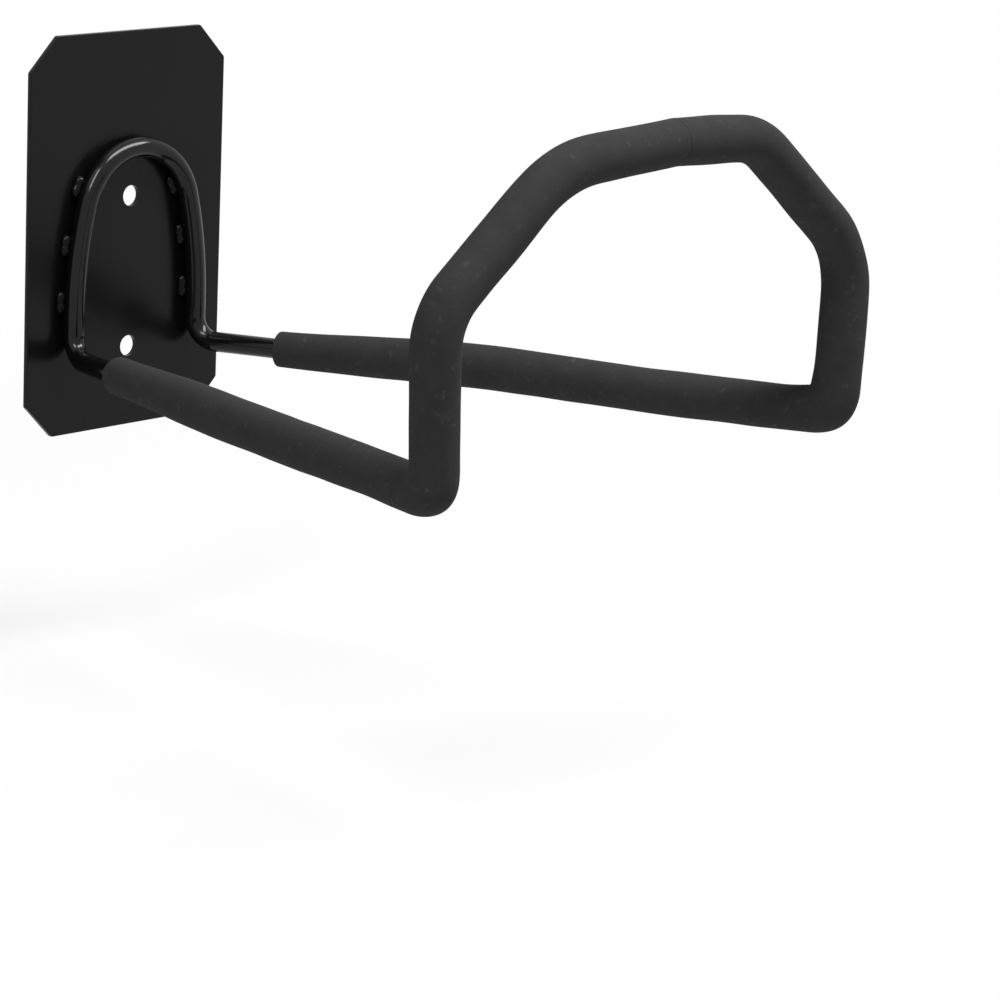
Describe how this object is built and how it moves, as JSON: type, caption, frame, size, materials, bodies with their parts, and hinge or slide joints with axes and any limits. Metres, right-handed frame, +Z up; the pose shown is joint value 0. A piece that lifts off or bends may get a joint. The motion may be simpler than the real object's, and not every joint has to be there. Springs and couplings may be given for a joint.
{
  "type": "hose hanger",
  "caption": "Wall-mounted hose hanger: a flat plate with cut corners carries a welded bent rod whose arms end in an upturned loop, padded with foam sleeves.",
  "frame": {"origin": "midway between the two screw holes, on the face of the plate that lies on the wall", "axes": "+Z up, -Y straight out of the wall towards the loop, +X to the right for a person who faces the wall"},
  "size_m": [0.2588, 0.3023, 0.17],
  "materials": {
    "black_coat": "semi-gloss black powder coat",
    "black_foam": "matt closed-cell foam"
  },
  "bodies": {
    "root": {"back_plate": "black_coat", "hanger_rod": "black_coat", "weld_beads": "black_coat", "left_foam_sleeve": "black_foam", "right_foam_sleeve": "black_foam"}
  },
  "joints": []
}
